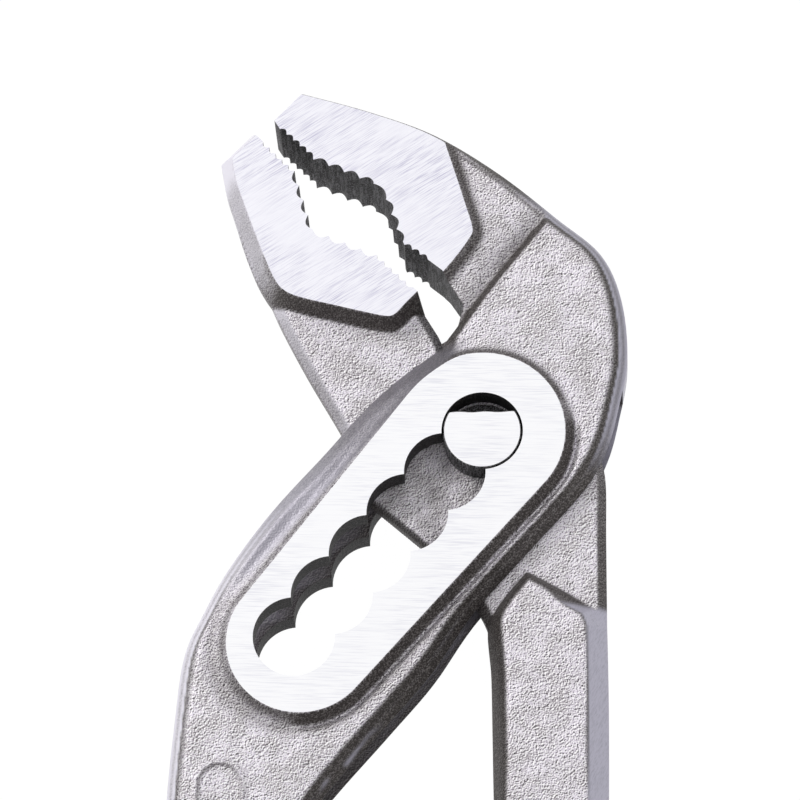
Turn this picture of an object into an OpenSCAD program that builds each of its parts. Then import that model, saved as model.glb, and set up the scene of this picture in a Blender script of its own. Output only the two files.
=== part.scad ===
// Water pump pliers with a forged box joint, lying flat, front face up.
// The origin is on the pivot pin's axis at the back ground face. +Y runs to the jaws, +Z to the front.
// The slot runs away from the pin, down and to the left. In the slot's own axes u runs along it
// from the first notch and v runs across it, to the upper left.

/* [Box joint] */
// Thickness over the two ground pads of the box joint
box_t = 12; // [11:0.5:14]
// Thickness of the box body under the ground pads
body_t = 9.7; // [9:0.1:10.5]
// Thickness of each cheek beside the tongue's channel
cheek_t = 3.6; // [3.2:0.1:4]
// Half width of the box on the handle side of the slot
flank_low = 13.9; // [13.5:0.1:14.5]
// Half width of the box on the jaw side of the slot
flank_high = 13.7; // [13.3:0.1:14.5]
// Width of the sloping forged flanks, seen from the front
draft_w = 1.9; // [1.4:0.1:2.2]
// Radius of the ground pad round the first notch
pad_r = 10.3; // [9.5:0.1:11]
// Radius of the ground pad round the last notch
pad_end_r = 9.1; // [8.5:0.1:10]

/* [Slot and pin] */
// Angle of the slot above the horizontal
slot_angle = 48.8; // [46:0.2:52]
// Number of notches in the slot
notch_count = 6; // [4:1:6]
// Distance between neighbouring notches
notch_pitch = 7.05; // [6.6:0.05:7.4]
// Radius of the pivot pin
pin_r = 4.85; // [4.5:0.05:5.2]
// Running clearance between the pin and its notch
pin_gap = 0.2; // [0.1:0.05:0.3]
// Distance from the pin's axis to the flat on its ends
pin_flat = 2.2; // [1.8:0.1:2.6]
// Running clearance on each face of the tongue
tongue_gap = 0.3; // [0.2:0.05:0.5]

/* [Jaws] */
// Width of the sloping flanks round the inner jaw
jaw_draft = 1.6; // [1.2:0.1:2]
// Depth of the large rounded teeth
scallop_d = 0.62; // [0.4:0.02:0.8]
// Depth of the fine teeth
fine_d = 0.42; // [0.3:0.02:0.5]
// Depth of the recess between the upper jaw's ground face and the box
neck_drop = 1.8; // [1:0.1:2.2]

/* [Handles] */
// Distance from the pin's axis to the end of the steel handles
handle_len = 198; // [185:1:215]
// Width of the handles in the grips
handle_w = 13; // [12:0.5:14]
// Thickness of the handles
handle_t = 8; // [7:0.1:9]
// How far each handle's end bows outward
handle_bow = 8; // [4:0.5:12]

/* [Grips] */
// Distance from the pin's axis to the upper edge of the grips
grip_start = 82; // [75:1:100]
// Wall of the dipped grips beside the handle
grip_wall = 2.2; // [1.6:0.1:2.8]
// Clearance between a grip and its handle
grip_gap = 0.04; // [0.02:0.01:0.1]

/* [Position] */
// Notch that the pin sits in, counted from the jaws
notch = 0; // [0:1:5]

/* [Hidden] */
steel = [0.72, 0.72, 0.74];
ground_steel = [0.9, 0.9, 0.93];
grip_blue = [0.16, 0.2, 0.27];
arc_fn = 96;
mid_z = box_t / 2;
notch_r = pin_r + pin_gap;
channel_t = box_t - 2 * cheek_t;
tongue_t = channel_t - 2 * tongue_gap;
slot_len = (notch_count - 1) * notch_pitch;
land_t = 1.6;
tongue_land_t = 1.4;
tongue_draft = 0.8;
// Round end of the tongue, and the wall of the channel round it
disc_r = 11.5;
channel_gap = 0.5;
open_angle = 50;
channel_end = 53.5;
tongue_right = 15.2;
// The blend of the ground pad into the box body, which it enters just under the surface
pad_skirt = 1.3;
skirt_z = mid_z - body_t / 2 + 0.3;
// The back of the box leans in where it meets the pad's end
pad_shift = 1;

// A point in the slot's own axes, turned into the part's axes
function at_slot(u, v) = [
    -u * cos(slot_angle) - v * sin(slot_angle),
    -u * sin(slot_angle) + v * cos(slot_angle)
];

// Smooth open curve through the points, without its last point
function bend(a, b, c, d, t) = 0.5 * ((2 * b) + (c - a) * t
    + (2 * a - 5 * b + 4 * c - d) * t * t + (3 * b - a - 3 * c + d) * t * t * t);
function curve(p, steps = 4) = [
    for (i = [0 : len(p) - 2])
        for (k = [0 : steps - 1])
            bend(p[max(i - 1, 0)], p[i], p[i + 1], p[min(i + 2, len(p) - 1)], k / steps)
];
function arc(centre, r, from, to, steps) = [
    for (k = [0 : steps])
        centre + r * [cos(from + (to - from) * k / steps), sin(from + (to - from) * k / steps)]
];

// Outline without points that lie on each other, then moved inward by d, corner by corner.
// Outlines run anticlockwise.
function apart(p) = let (n = len(p)) [for (i = [0 : n - 1]) if (norm(p[i] - p[(i + 1) % n]) > 0.02) p[i]];
function unit(p) = p / norm(p);
function inward(a, b) = let (e = unit(b - a)) [-e[1], e[0]];
function inset_corner(a, p, b, d) = let (m = inward(a, p), n = inward(p, b))
    p + d * (m + n) / max(1 + m * n, 0.5);
function inset(p, d) = let (n = len(p))
    [for (i = [0 : n - 1]) inset_corner(p[(i + n - 1) % n], p[i], p[(i + 1) % n], d)];

// Solid with sloping sides: the outline at each level is moved inward by that level's amount
module sloped(shape, levels) {
    outline = apart(shape);
    n = len(outline);
    rings = len(levels);
    points = [for (level = levels) for (p = inset(outline, level[1])) [p[0], p[1], level[0]]];
    sides = [
        for (k = [0 : rings - 2])
            for (i = [0 : n - 1])
                let (a = k * n + i, b = k * n + (i + 1) % n)
                    each [[a, b + n, b], [a, a + n, b + n]]
    ];
    polyhedron(points, concat(
        [[for (i = [0 : n - 1]) i]],
        [[for (i = [0 : n - 1]) rings * n - 1 - i]],
        sides
    ));
}

// Levels of a forging of thickness t with a flat land at its parting plane
function forged(t, land, draft) = [
    [mid_z - t / 2, draft], [mid_z - land / 2, 0], [mid_z + land / 2, 0], [mid_z + t / 2, draft]
];

// A row of n teeth between two points, each a hollow of the given depth on the jaw's side
function teeth(a, b, n, depth, steps = 4) = let (side = inward(b, a)) [
    for (i = [0 : n - 1])
        for (k = [0 : steps - 1])
            a + (b - a) * (i + k / steps) / n + side * depth * sin(180 * k / steps)
];

// Handles: the centre line starts below the box and bows outward, side is -1 for the left one
handle_top = 60;
function handle_mid(x0, side, y) = let (t = (y - handle_top) / (handle_len - handle_top))
    [x0 + side * (1.5 * t + handle_bow * t * t), -y];
function handle_edge(x0, side, w, from, to, steps, offset) = [
    for (k = [0 : steps])
        let (y = from + (to - from) * k / steps,
             a = handle_mid(x0, side, y - 1),
             b = handle_mid(x0, side, y + 1))
            (a + b) / 2 + offset * w / 2 * inward(a, b)
];
function handle_end(x0, side, w, y) =
    let (a = handle_mid(x0, side, y - 1), b = handle_mid(x0, side, y + 1), e = unit(b - a),
         down = atan2(e[1], e[0]))
        arc((a + b) / 2, w / 2, down - 90, down + 90, 10);

outer_x = -32.4;
inner_x = 8.1;

// Outer member: left handle, box and upper jaw in one outline, anticlockwise from the upper jaw's nose
outer_left = concat(
    curve([at_slot(5, flank_high), at_slot(9, flank_high + 0.1), at_slot(14, flank_high),
        at_slot(24, flank_high), at_slot(33, flank_high - 0.9), at_slot(39.5, flank_high - 2.4),
        [-36.9, -28], [-38, -36.5], [-38.9, -47], [-39.2, -58]], 3)
);
outer_low = curve([
    [-25.8, -60], [-24.6, -54], at_slot(48, -15.6), at_slot(36, -15.4), at_slot(27, -15.2),
    at_slot(18, -flank_low - 0.1), at_slot(8, -flank_low), at_slot(-3, -flank_low),
    at_slot(-9, -12.6), [17, 4.3], [18.1, 10.9], [17.4, 18.5], [14.9, 24.5], [9.6, 29.3],
    [2.2, 35.6], [-5.8, 40.9], [-13.9, 44.2], [-23.2, 47.3]], 3);
outer_outline = concat(
    outer_left,
    handle_edge(outer_x, -1, handle_w, 66, handle_len - handle_w / 2, 10, -1),
    handle_end(outer_x, -1, handle_w, handle_len - handle_w / 2),
    handle_edge(outer_x, -1, handle_w, handle_len - handle_w / 2, 66, 10, 1),
    outer_low,
    [[-23.2, 47.3], [-29.4, 40.8], [-23.6, 34.2], [-15, 29], [-13.6, 20]]
);

// Tooth line of the upper jaw, from its tip to the throat
upper_teeth = concat(
    [[-26.1, 42.7]],
    teeth([-25.1, 41.5], [-20.9, 37.5], 5, fine_d),
    teeth([-20.9, 37.5], [-13.1, 34], 4, scallop_d),
    teeth([-13.1, 34], [-11.4, 31.6], 1, scallop_d),
    teeth([-11.4, 31.6], [-9.4, 25.6], 3, scallop_d),
    teeth([-9.43, 25.63], [-6.52, 23.57], 3, fine_d),
    [[-6.52, 23.57], [-4.93, 21.81], [-2.33, 17.72], [-4.41, 12.93]]
);

// Tooth line of the lower jaw, from its tip to its heel
lower_teeth = concat(
    [[-28.8, 40.8]],
    teeth([-27.5, 39.5], [-23.5, 35.5], 5, fine_d),
    teeth([-23.5, 35.5], [-21.2, 27.5], 4, scallop_d),
    teeth([-21.2, 27.5], [-13.1, 24], 4, scallop_d),
    teeth([-13.1, 24], [-8.6, 19.6], 5, fine_d),
    [[-8.6, 19.6], [-8, 19]]
);

// Ground pad round the slot: two round ends and the straight sides between them
pad_outline = let (
    a = at_slot(0, 0),
    b = at_slot(slot_len, -pad_shift),
    along = atan2(b[1] - a[1], b[0] - a[0]),
    lean = asin((pad_r - pad_end_r) / norm(b - a)))
    concat(
        arc(a, pad_r, along + 90 - lean, along + 270 + lean, 24),
        arc(b, pad_end_r, along - 90 + lean, along + 90 - lean, 20));

// Channel for the tongue, open along both flanks of the box
channel_r = disc_r + channel_gap;
wall_angle = open_angle + 2;
wall_r = tongue_right + channel_gap;
function wall_point(t) = wall_r * [cos(wall_angle), sin(wall_angle)]
    + t * [sin(wall_angle), -cos(wall_angle)];
channel_outline = concat(
    [[-5.8, 19.6], at_slot(-4, 24), at_slot(channel_end + 7, 24), at_slot(channel_end + 7, 12),
        at_slot(channel_end, 1), at_slot(channel_end, -24), [32, -8], wall_point(14), wall_point(0)],
    arc([0, 0], channel_r, 75, 104, 6)
);

// Recess between the upper jaw's ground face and the box, on both faces
neck_outline = concat(
    [[4, 48], [-6, 46]],
    curve([[-4.3, 38.6], [-3.4, 35.2], [-1.7, 29.5], [-1.1, 27.2], [-3.2, 23.6], [-4.7, 21.8]], 2),
    [[-4.7, 21.8], [-9, 17.5], [-6.8, 11]],
    curve([[-4.6, 11.9], [-2, 14.9], [1.7, 19.9], [4.8, 23.9], [8, 27.8]], 2),
    [[8, 27.8], [16, 38]]
);

// The forging is finished to the box's full thickness before its slot is drilled out, notch by notch
module outer_jaw_handle() color(steel) difference() {
    resize([0, 0, box_t]) outer_forging();
    for (i = [0 : notch_count - 1])
        translate(concat(at_slot(i * notch_pitch, 0), -1)) cylinder(h = box_t + 2, r = notch_r, $fn = arc_fn);
}

module outer_forging() difference() {
    union() {
        sloped(outer_outline, forged(body_t, land_t, draft_w));
        sloped(pad_outline, [[0, 0], [0.5, -0.12], [skirt_z, -pad_skirt],
            [box_t - skirt_z, -pad_skirt], [box_t - 0.5, -0.12], [box_t, 0]]);
    }
    translate([0, 0, cheek_t]) linear_extrude(channel_t) polygon(channel_outline);
    translate([0, 0, -1]) linear_extrude(box_t + 2) polygon(concat(upper_teeth,
        [at_slot(3.43, 10.93), at_slot(5.1, 17.3), [-45.3, 20.7], [-45.7, 50.3], [-30.2, 47.6]]));
    neck_depth = mid_z - body_t / 2 + neck_drop;
    for (z = [-1, box_t - neck_depth])
        translate([0, 0, z]) linear_extrude(neck_depth + 1) polygon(neck_outline);
    handle_relief(-70);
}

// Wedges that thin the handles towards their ends, on both faces
module handle_relief(x) {
    drop = (body_t - handle_t) / 2;
    for (flip = [0, 1]) translate([x, 0, flip * box_t]) mirror([0, 0, flip])
        rotate([90, 0, 90]) linear_extrude(100) polygon([
            [-40, mid_z - body_t / 2 - 0.01], [-62, mid_z - handle_t / 2],
            [-handle_len - 10, mid_z - handle_t / 2], [-handle_len - 10, -1], [-40, -1]]);
}

// Inner member: the thin tongue, with the neck up to the jaw and the neck down to the handle
tongue_outline = concat(
    curve([[-27.6, 22], [-25.7, 16.9], [-22, 9.5], [-17.4, 1.2], [-16.1, -2.5], at_slot(15, 7)], 3),
    [at_slot(15, 7)],
    curve([at_slot(15, -6.5), [-2.6, -18.6], [0.4, -24], [2.6, -32]], 3),
    [[2.6, -32], [13.2, -32]],
    curve([[tongue_right, -25], [tongue_right, -12], [tongue_right, -5], [14.4, -1.2]], 2),
    arc([0, 0], disc_r, 12, 110, 14),
    [[-5.6, 14.5], [-8.4, 19.2], [-14, 24]]
);
jaw_outline = concat(
    curve([[-33, 37.8], [-32.3, 34], [-31.3, 30.7], [-29.6, 25.2], [-27.6, 20.6], [-24.9, 17.7],
        [-19, 15.9], [-12.4, 14.3], [-9.8, 14.6], [-8.2, 16.6]], 3),
    [[-8.2, 16.6], [-4, 20], [-10, 27], [-18, 31], [-19, 37], [-27.5, 43.4]]
);
handle_outline = concat(
    [[5.3, -16.8]],
    curve([[3.4, -19], [0.6, -23.6], [0.9, -31], [1.1, -46], [1.4, -58]], 3),
    handle_edge(inner_x, 1, handle_w, 66, handle_len - handle_w / 2, 10, -1),
    handle_end(inner_x, 1, handle_w, handle_len - handle_w / 2),
    handle_edge(inner_x, 1, handle_w, handle_len - handle_w / 2, 66, 10, 1),
    curve([[15, -58], [15.2, -46], [15.3, -34], [15.2, -23.4]], 3),
    [[14.2, -21.8]]
);

module place_inner() translate(at_slot(notch * notch_pitch, 0)) children();

module inner_jaw_handle() color(steel) place_inner() difference() {
    resize([0, 0, body_t]) inner_forging();
    translate([0, 0, -1]) cylinder(h = box_t + 2, r = pin_r, $fn = arc_fn);
}

module inner_forging() difference() {
    union() {
        sloped(tongue_outline, forged(tongue_t, tongue_land_t, tongue_draft));
        sloped(jaw_outline, forged(body_t, land_t, jaw_draft));
        sloped(handle_outline, forged(body_t, land_t, draft_w));
    }
    translate([0, 0, -1]) linear_extrude(box_t + 2)
        polygon(concat([for (i = [len(lower_teeth) - 1 : -1 : 0]) lower_teeth[i]],
            [[-36, 48], [-10, 50], [-2, 20], [-2, 16.9], [-7, 16.9]]));
    handle_relief(-30);
}

module pivot_pin() color(ground_steel) place_inner() difference() {
    cylinder(h = box_t, r = pin_r, $fn = arc_fn);
    for (z = [-1, box_t - cheek_t - tongue_gap])
        translate([-pin_r - 1, pin_flat, z]) cube([2 * pin_r + 2, pin_r, cheek_t + tongue_gap + 1]);
}

// Dipped grip over the end of one handle, open at its upper edge
module grip(x0, side) {
    w = handle_w + 2 * grip_wall;
    round = 2.8;
    end = handle_len + grip_wall - w / 2;
    shell = concat(
        handle_edge(x0, side, w, grip_start, end, 12, -1),
        handle_end(x0, side, w, end),
        handle_edge(x0, side, w, end, grip_start, 12, 1));
    w_in = handle_w + 2 * grip_gap;
    end_in = handle_len + grip_gap - w_in / 2;
    hollow = concat(
        handle_edge(x0, side, w_in, grip_start - 5, end_in, 12, -1),
        handle_end(x0, side, w_in, end_in),
        handle_edge(x0, side, w_in, end_in, grip_start - 5, 12, 1));
    t_in = handle_t + 2 * grip_gap;
    difference() {
        sloped(shell, [[0, round], [round * 0.3, round * 0.3], [round, 0], [box_t - round, 0],
            [box_t - round * 0.3, round * 0.3], [box_t, round]]);
        intersection() {
            sloped(hollow, forged(body_t + 2 * grip_gap, land_t, draft_w));
            translate([-100, -handle_len - 20, mid_z - t_in / 2]) cube([200, handle_len, t_in]);
        }
    }
}

module outer_grip() color(grip_blue) grip(outer_x, -1);

module inner_grip() color(grip_blue) place_inner() grip(inner_x, 1);

outer_jaw_handle();
inner_jaw_handle();
pivot_pin();
outer_grip();
inner_grip();
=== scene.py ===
# Water pump pliers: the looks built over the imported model. Shapes are worked out in millimetres.
import math

import bmesh
import bpy
import numpy as np
from mathutils import Matrix, Vector


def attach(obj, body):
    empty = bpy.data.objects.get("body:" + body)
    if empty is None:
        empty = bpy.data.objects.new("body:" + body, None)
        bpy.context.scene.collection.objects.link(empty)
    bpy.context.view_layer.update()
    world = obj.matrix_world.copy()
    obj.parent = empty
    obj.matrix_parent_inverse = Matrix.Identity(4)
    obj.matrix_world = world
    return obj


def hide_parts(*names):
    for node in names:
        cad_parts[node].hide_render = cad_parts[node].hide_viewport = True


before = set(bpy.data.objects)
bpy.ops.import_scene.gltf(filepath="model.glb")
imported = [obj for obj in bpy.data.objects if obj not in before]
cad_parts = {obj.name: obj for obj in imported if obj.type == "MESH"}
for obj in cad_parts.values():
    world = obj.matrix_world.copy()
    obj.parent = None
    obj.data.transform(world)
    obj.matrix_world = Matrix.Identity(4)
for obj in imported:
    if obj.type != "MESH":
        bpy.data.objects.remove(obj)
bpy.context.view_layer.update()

joint = {
    "thickness": 12.0,        # over the two ground pads
    "body": 9.7,              # box body and jaws
    "cheek": 3.6,
    "tongue": 4.2,
    "slotAngle": 48.8,
    "notches": 6,
    "pitch": 7.05,
    "notchRadius": 5.05,
    "pinRadius": 4.85,
    "pinFlat": 2.6,
    "padRadius": 10.3,
    "padEndRadius": 9.1,
    "padShift": 1.0,
    "flankLow": 13.9,
    "flankHigh": 13.7,
}
handles = {
    "length": 198.0,          # from the pin to the handles' ends
    "width": 13.0,
    "thickness": 8.0,
    "top": 60.0,              # where the bow starts, below the pin
    "start": 66.0,            # from here down both sides follow the middle line
    "slope": 1.5, "bow": 8.0,
    "outerX": -32.4, "innerX": 8.1,    # their middle lines at the top
}
teeth = {"shallow": 0.42, "deep": 0.62}
middle = joint["thickness"] / 2
bodyTop = middle + joint["body"] / 2
slotLength = (joint["notches"] - 1) * joint["pitch"]
slotTurn = math.radians(joint["slotAngle"])
below, above = -5, 20         # levels past both faces, for cutters
toMetres, toMillimetres = 0.001, 1000


# Points and outlines. An outline is an array of corners in the plane, anticlockwise.

def alongSlot(u, v):
    # u down the slot from its first notch, v across it to the upper left
    c, s = math.cos(slotTurn), math.sin(slotTurn)
    return (-u * c - v * s, -u * s + v * c)


def smoothCurve(points, steps=6):
    # Catmull-Rom curve through the points, without its last point: between two of them, a cubic whose slope
    # at each is half the way from the point before it to the point after it
    p = np.array(points, float)
    before = np.vstack([p[:1], p[:-2]])
    after = np.vstack([p[2:], p[-1:]])
    t = (np.arange(steps) / steps)[None, :, None]
    a, b, c, d = before[:, None], p[:-1, None], p[1:, None], after[:, None]
    square, cube = 2 * a - 5 * b + 4 * c - d, 3 * b - a - 3 * c + d
    curve = 0.5 * (2 * b + (c - a) * t + square * t ** 2 + cube * t ** 3)
    return curve.reshape(-1, 2)


def arc(centre, radius, start, end, steps):
    # the centre plus the radius times cosine and sine, in even steps of the angle in degrees
    t = np.radians(np.linspace(start, end, steps + 1))
    return np.array(centre) + radius * np.column_stack([np.cos(t), np.sin(t)])


def inwardOf(a, b):
    # unit vector to the left of the way from a to b
    e = (b - a) / np.linalg.norm(b - a, axis=-1, keepdims=True)
    return np.stack([-e[..., 1], e[..., 0]], axis=-1)


def toothRow(start, end, count, depth, points=False, steps=8):
    # half a sine wave for each tooth, set off to the left of the way back; points are the depth less the wave
    start, end = np.array(start, float), np.array(end, float)
    s = np.arange(count * steps) / steps
    wave = np.abs(np.sin(np.pi * s))
    offset = depth * (1 - wave if points else wave)
    return start + (end - start) * (s / count)[:, None] + inwardOf(end, start) * offset[:, None]


def handleMiddle(x0, side, y):
    # the handle's middle line at y below the pin: a slight slope, and a bow that grows with the way squared
    t = (y - handles["top"]) / (handles["length"] - handles["top"])
    return np.column_stack([x0 + side * (handles["slope"] * t + handles["bow"] * t * t), -y])


def handleEdge(x0, side, start, end, offset, steps=20):
    # the middle line set off square to itself by half the width; offset 1 is the one side, -1 the other
    y = np.linspace(start, end, steps + 1)
    a, b = handleMiddle(x0, side, y - 1), handleMiddle(x0, side, y + 1)
    return (a + b) / 2 + offset * handles["width"] / 2 * inwardOf(a, b)


def handleEnd(x0, side, y, steps=16):
    # half a circle round the middle line's end, open towards the handle
    a, b = handleMiddle(x0, side, np.array([y - 1.0])), handleMiddle(x0, side, np.array([y + 1.0]))
    down = math.degrees(math.atan2(*(b - a)[0][::-1]))
    return arc((a + b)[0] / 2, handles["width"] / 2, down - 90, down + 90, steps)


def handleOutline(x0, side):
    # down the one side, round the end and back up the other
    start, end = handles["start"], handles["length"] - handles["width"] / 2
    left, right = handleEdge(x0, side, start, end, -1), handleEdge(x0, side, end, start, 1)
    return [left, handleEnd(x0, side, end), right]


def joined(*pieces):
    # the pieces one after another, without points that fall on the next one
    p = np.vstack([np.atleast_2d(piece) for piece in pieces])
    gap = np.linalg.norm(p - np.roll(p, -1, axis=0), axis=1)
    return p[gap > 0.02]


high, low = joint["flankHigh"], joint["flankLow"]
outerOutline = joined(
    smoothCurve([alongSlot(-6, 11.8), alongSlot(0, 13.1), alongSlot(5, high), alongSlot(9, high + 0.1),
                 alongSlot(14, high), alongSlot(24, high), alongSlot(33, high - 0.9),
                 alongSlot(39.5, high - 2.4), (-36.9, -28), (-38, -36.5), (-38.9, -47), (-39.2, -58)]),
    *handleOutline(handles["outerX"], -1),
    smoothCurve([(-25.8, -60), (-24.6, -54), alongSlot(48, -15.6), alongSlot(36, -15.4), alongSlot(27, -15.2),
                 alongSlot(18, -low - 0.1), alongSlot(8, -low), alongSlot(-3, -low), alongSlot(-9, -12.6),
                 (17, 4.3), (18.1, 10.9), (17.4, 18.5), (14.9, 24.5), (9.6, 29.3), (2.2, 35.6),
                 (-5.8, 40.9), (-13.9, 44.2), (-22.4, 46.8)]),
    [(-22.4, 46.8), (-27, 48.2), (-34, 42), (-23.6, 34.2), (-15, 29), (-10, 20), (-7.2, 14.6)])

# Each jaw's teeth, from the tip to the throat, and the cutter that leaves them standing
shallow, deep = teeth["shallow"], teeth["deep"]
upperTeeth = joined(
    (-26.1, 42.34),
    toothRow((-25.1, 41.5), (-20.9, 37.5), 5, shallow, True),
    toothRow((-20.9, 37.5), (-13.1, 34), 4, deep, True),
    toothRow((-13.1, 34), (-11.4, 31.6), 1, deep, True),
    toothRow((-11.4, 31.6), (-9.4, 25.6), 3, deep, True),
    toothRow((-9.43, 25.63), (-6.52, 23.57), 3, shallow, True),
    (-6.72, 23.27), (-4.93, 21.81), (-2.33, 17.72), (-3.0, 14.9), (-4.41, 12.93))
lowerTeeth = joined(
    (-28.8, 40.8),
    toothRow((-27.5, 39.5), (-23.5, 35.5), 5, shallow),
    toothRow((-23.5, 35.5), (-21.2, 27.5), 4, deep),
    toothRow((-21.2, 27.5), (-13.1, 24), 4, deep),
    toothRow((-13.1, 24), (-8.6, 19.6), 5, shallow),
    (-8.6, 19.6), (-8, 19))
upperCutter = joined(
    upperTeeth,
    [(-5.6, 12.6), alongSlot(0, 13.7), alongSlot(5.1, 17.3), (-45.3, 20.7), (-45.7, 50.3), (-18.8, 50.0)])
lowerCutter = joined(lowerTeeth[::-1], [(-36, 48), (-10, 50), (-2, 20), (-2, 16.9), (-7, 16.9)])

# The belt-ground faces of the jaws
upperFace = joined(
    [(-32, 44), (-29, 52), (-8, 50), (-5.2, 43)],
    smoothCurve([(-4.4, 38.4), (-3.4, 35.2), (-1.9, 30.2), (-1.15, 27.4), (-1.5, 26.2), (-3.2, 23.7),
                 (-4.9, 21.6)], 4),
    [(-4.9, 21.6), (-8, 19), (-20, 30)])[::-1]
lowerFace = joined(
    [(-24, 47), (-30, 42)],
    smoothCurve([(-32.0, 36.9), (-28.9, 28.5), (-26.2, 21.4), (-24.7, 19.3), (-22.1, 18.2), (-18.5, 17.3),
                 (-14.9, 16.4), (-12.4, 15.8), (-11.1, 15.9), (-9.6, 17.4), (-7.6, 19.6)], 4),
    [(-7.6, 19.6), (-4, 24), (-14, 38)])

# The line through the bottoms of the upper teeth's hollows
toothLine = np.array([(-25.1, 41.5), (-20.9, 37.5), (-13.1, 34), (-11.4, 31.6), (-9.4, 25.6), (-6.52, 23.57)])

# The neck behind the upper jaw lies lower than the box; the step between them runs aslant
neckStep = smoothCurve([(-4.4, 11.5), (-2.7, 13.5), (-1.5, 15.4), (1.7, 19.9), (4.8, 23.9), (8, 27.8),
                        (9.5, 29.7)], 3)
neckRecess = joined(
    [(4, 48), (-10, 50), (-9, 36), (-7, 28), (-9, 17.5), (-6.8, 11)], neckStep, [(16, 38)])[::-1]


def padOutline():
    # two round ends and the straight sides between them
    a, b = np.array(alongSlot(0, 0)), np.array(alongSlot(slotLength, -joint["padShift"]))
    along = math.degrees(math.atan2(b[1] - a[1], b[0] - a[0]))
    lean = math.degrees(math.asin((joint["padRadius"] - joint["padEndRadius"]) / np.linalg.norm(b - a)))
    return joined(arc(a, joint["padRadius"], along + 90 - lean, along + 270 + lean, 64),
                  arc(b, joint["padEndRadius"], along - 90 + lean, along + 90 - lean, 56))


def slotOutline():
    # notch circles in a row: each gives an arc between its two cusps on each side, the end ones a round end
    r, last = joint["notchRadius"], joint["notches"] - 1
    along = joint["pitch"] * np.arange(joint["notches"])
    half = math.degrees(math.asin(joint["pitch"] / 2 / r))
    turn = math.degrees(slotTurn) + 180
    centres = np.column_stack([-along * math.cos(slotTurn), -along * math.sin(slotTurn)])
    upper = [arc(c, r, turn - 90 - half, turn - 90 + half, 14) for c in centres[1:-1]]
    lower = [arc(c, r, turn + 90 - half, turn + 90 + half, 14) for c in centres[1:-1][::-1]]
    return joined(arc(centres[0], r, turn + 90 - half, turn + 270 + half, 60), *upper,
                  arc(centres[last], r, turn - 90 - half, turn + 90 + half, 60), *lower)


# The channel through the box, and the inner forging's tongue, jaw and handle
channelOutline = joined(
    [(-5.8, 19.6), alongSlot(-4, 24), alongSlot(60.5, 24), alongSlot(60.5, 12), alongSlot(53.5, 1),
     alongSlot(53.5, -24), (32, -8), (20.7, 3.8), (9.7, 12.4)],
    arc((0, 0), 12.0, 75, 104, 12))

tongueOutline = joined(
    smoothCurve([(-27.6, 22), (-25.7, 16.9), (-22, 9.5), (-17.4, 1.2), (-16.1, -2.5), alongSlot(15, 7)]),
    [alongSlot(15, 7)],
    smoothCurve([alongSlot(15, -6.5), (-2.6, -18.6), (0.4, -24), (2.6, -32)]),
    [(2.6, -32), (13.2, -32)],
    smoothCurve([(15.2, -25), (15.2, -12), (15.2, -5), (14.4, -1.2)]),
    arc((0, 0), 11.5, 12, 110, 28),
    [(-5.6, 14.5), (-8.4, 19.2), (-14, 24)])
jawOutline = joined(
    smoothCurve([(-33, 37.8), (-32.3, 34), (-31.3, 30.7), (-29.6, 25.2), (-27.6, 20.6), (-24.9, 17.7),
                 (-19, 15.9), (-12.4, 14.3), (-9.8, 14.6), (-8.2, 16.6)]),
    [(-8.2, 16.6), (-4, 20), (-10, 27), (-18, 31), (-19, 37), (-27.5, 43.4)])
gripHandleOutline = joined(
    [(5.3, -16.8)],
    smoothCurve([(3.4, -19), (0.6, -23.6), (0.9, -31), (1.1, -46), (1.4, -58)]),
    *handleOutline(handles["innerX"], 1),
    smoothCurve([(15, -58), (15.2, -46), (15.3, -34), (15.2, -23.4)]),
    [(14.2, -21.8)])


# Fields over the plane

def inside(x, y, outline):
    # signed distance to the outline, positive inside: the least distance to its sides, with its sign from how
    # often a line from the point crosses them
    closed = np.vstack([outline, outline[:1]])
    crossed = np.zeros(x.shape, bool)
    for (px, py), (qx, qy) in zip(closed[:-1], closed[1:]):
        if qy != py:
            crossed ^= ((py > y) != (qy > y)) & (x < px + (y - py) * (qx - px) / (qy - py))
    return np.where(crossed, 1, -1) * nearLine(x, y, closed)


def nearLine(x, y, line):
    # least distance to the parts of an open line: for each part, to the nearest point on it
    nearest = np.full(x.shape, np.inf)
    for (px, py), (qx, qy) in zip(line[:-1], line[1:]):
        ex, ey = qx - px, qy - py
        t = np.clip(((x - px) * ex + (y - py) * ey) / (ex * ex + ey * ey), 0, 1)
        nearest = np.minimum(nearest, (x - px - t * ex) ** 2 + (y - py - t * ey) ** 2)
    return np.sqrt(nearest)


def ease(value, start, end):
    # from 0 at the start to 1 at the end, level at both
    t = np.clip((value - start) / (end - start), 0, 1)
    return t * t * (3 - 2 * t)


def lesser(a, b, blend):
    # smooth minimum: the two fields meet in a round edge about as wide as the blend
    h = np.clip(0.5 + 0.5 * (b - a) / blend, 0, 1)
    return b * (1 - h) + a * h - blend * h * (1 - h)


def greater(a, b, blend):
    # smooth maximum
    return -lesser(-a, -b, blend)


def hump(value, width):
    # bell curve: 1 where the value is 0, falling off within the width
    return np.exp(-(value / width) ** 2)


def unevenness(x, y, seed, size=1.0):
    # gentle waviness of a forging: nine crossed sine waves of falling length and height
    rng = np.random.default_rng(seed)
    total = np.zeros(x.shape)
    for k in range(9):
        angle, phase = rng.uniform(0, 2 * math.pi, 2)
        wave = (0.35 + 0.28 * k) / size
        total += np.sin(wave * (x * math.cos(angle) + y * math.sin(angle)) + phase) / (1 + 0.6 * k)
    return total


# Half thickness of each forging over the plane

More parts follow.
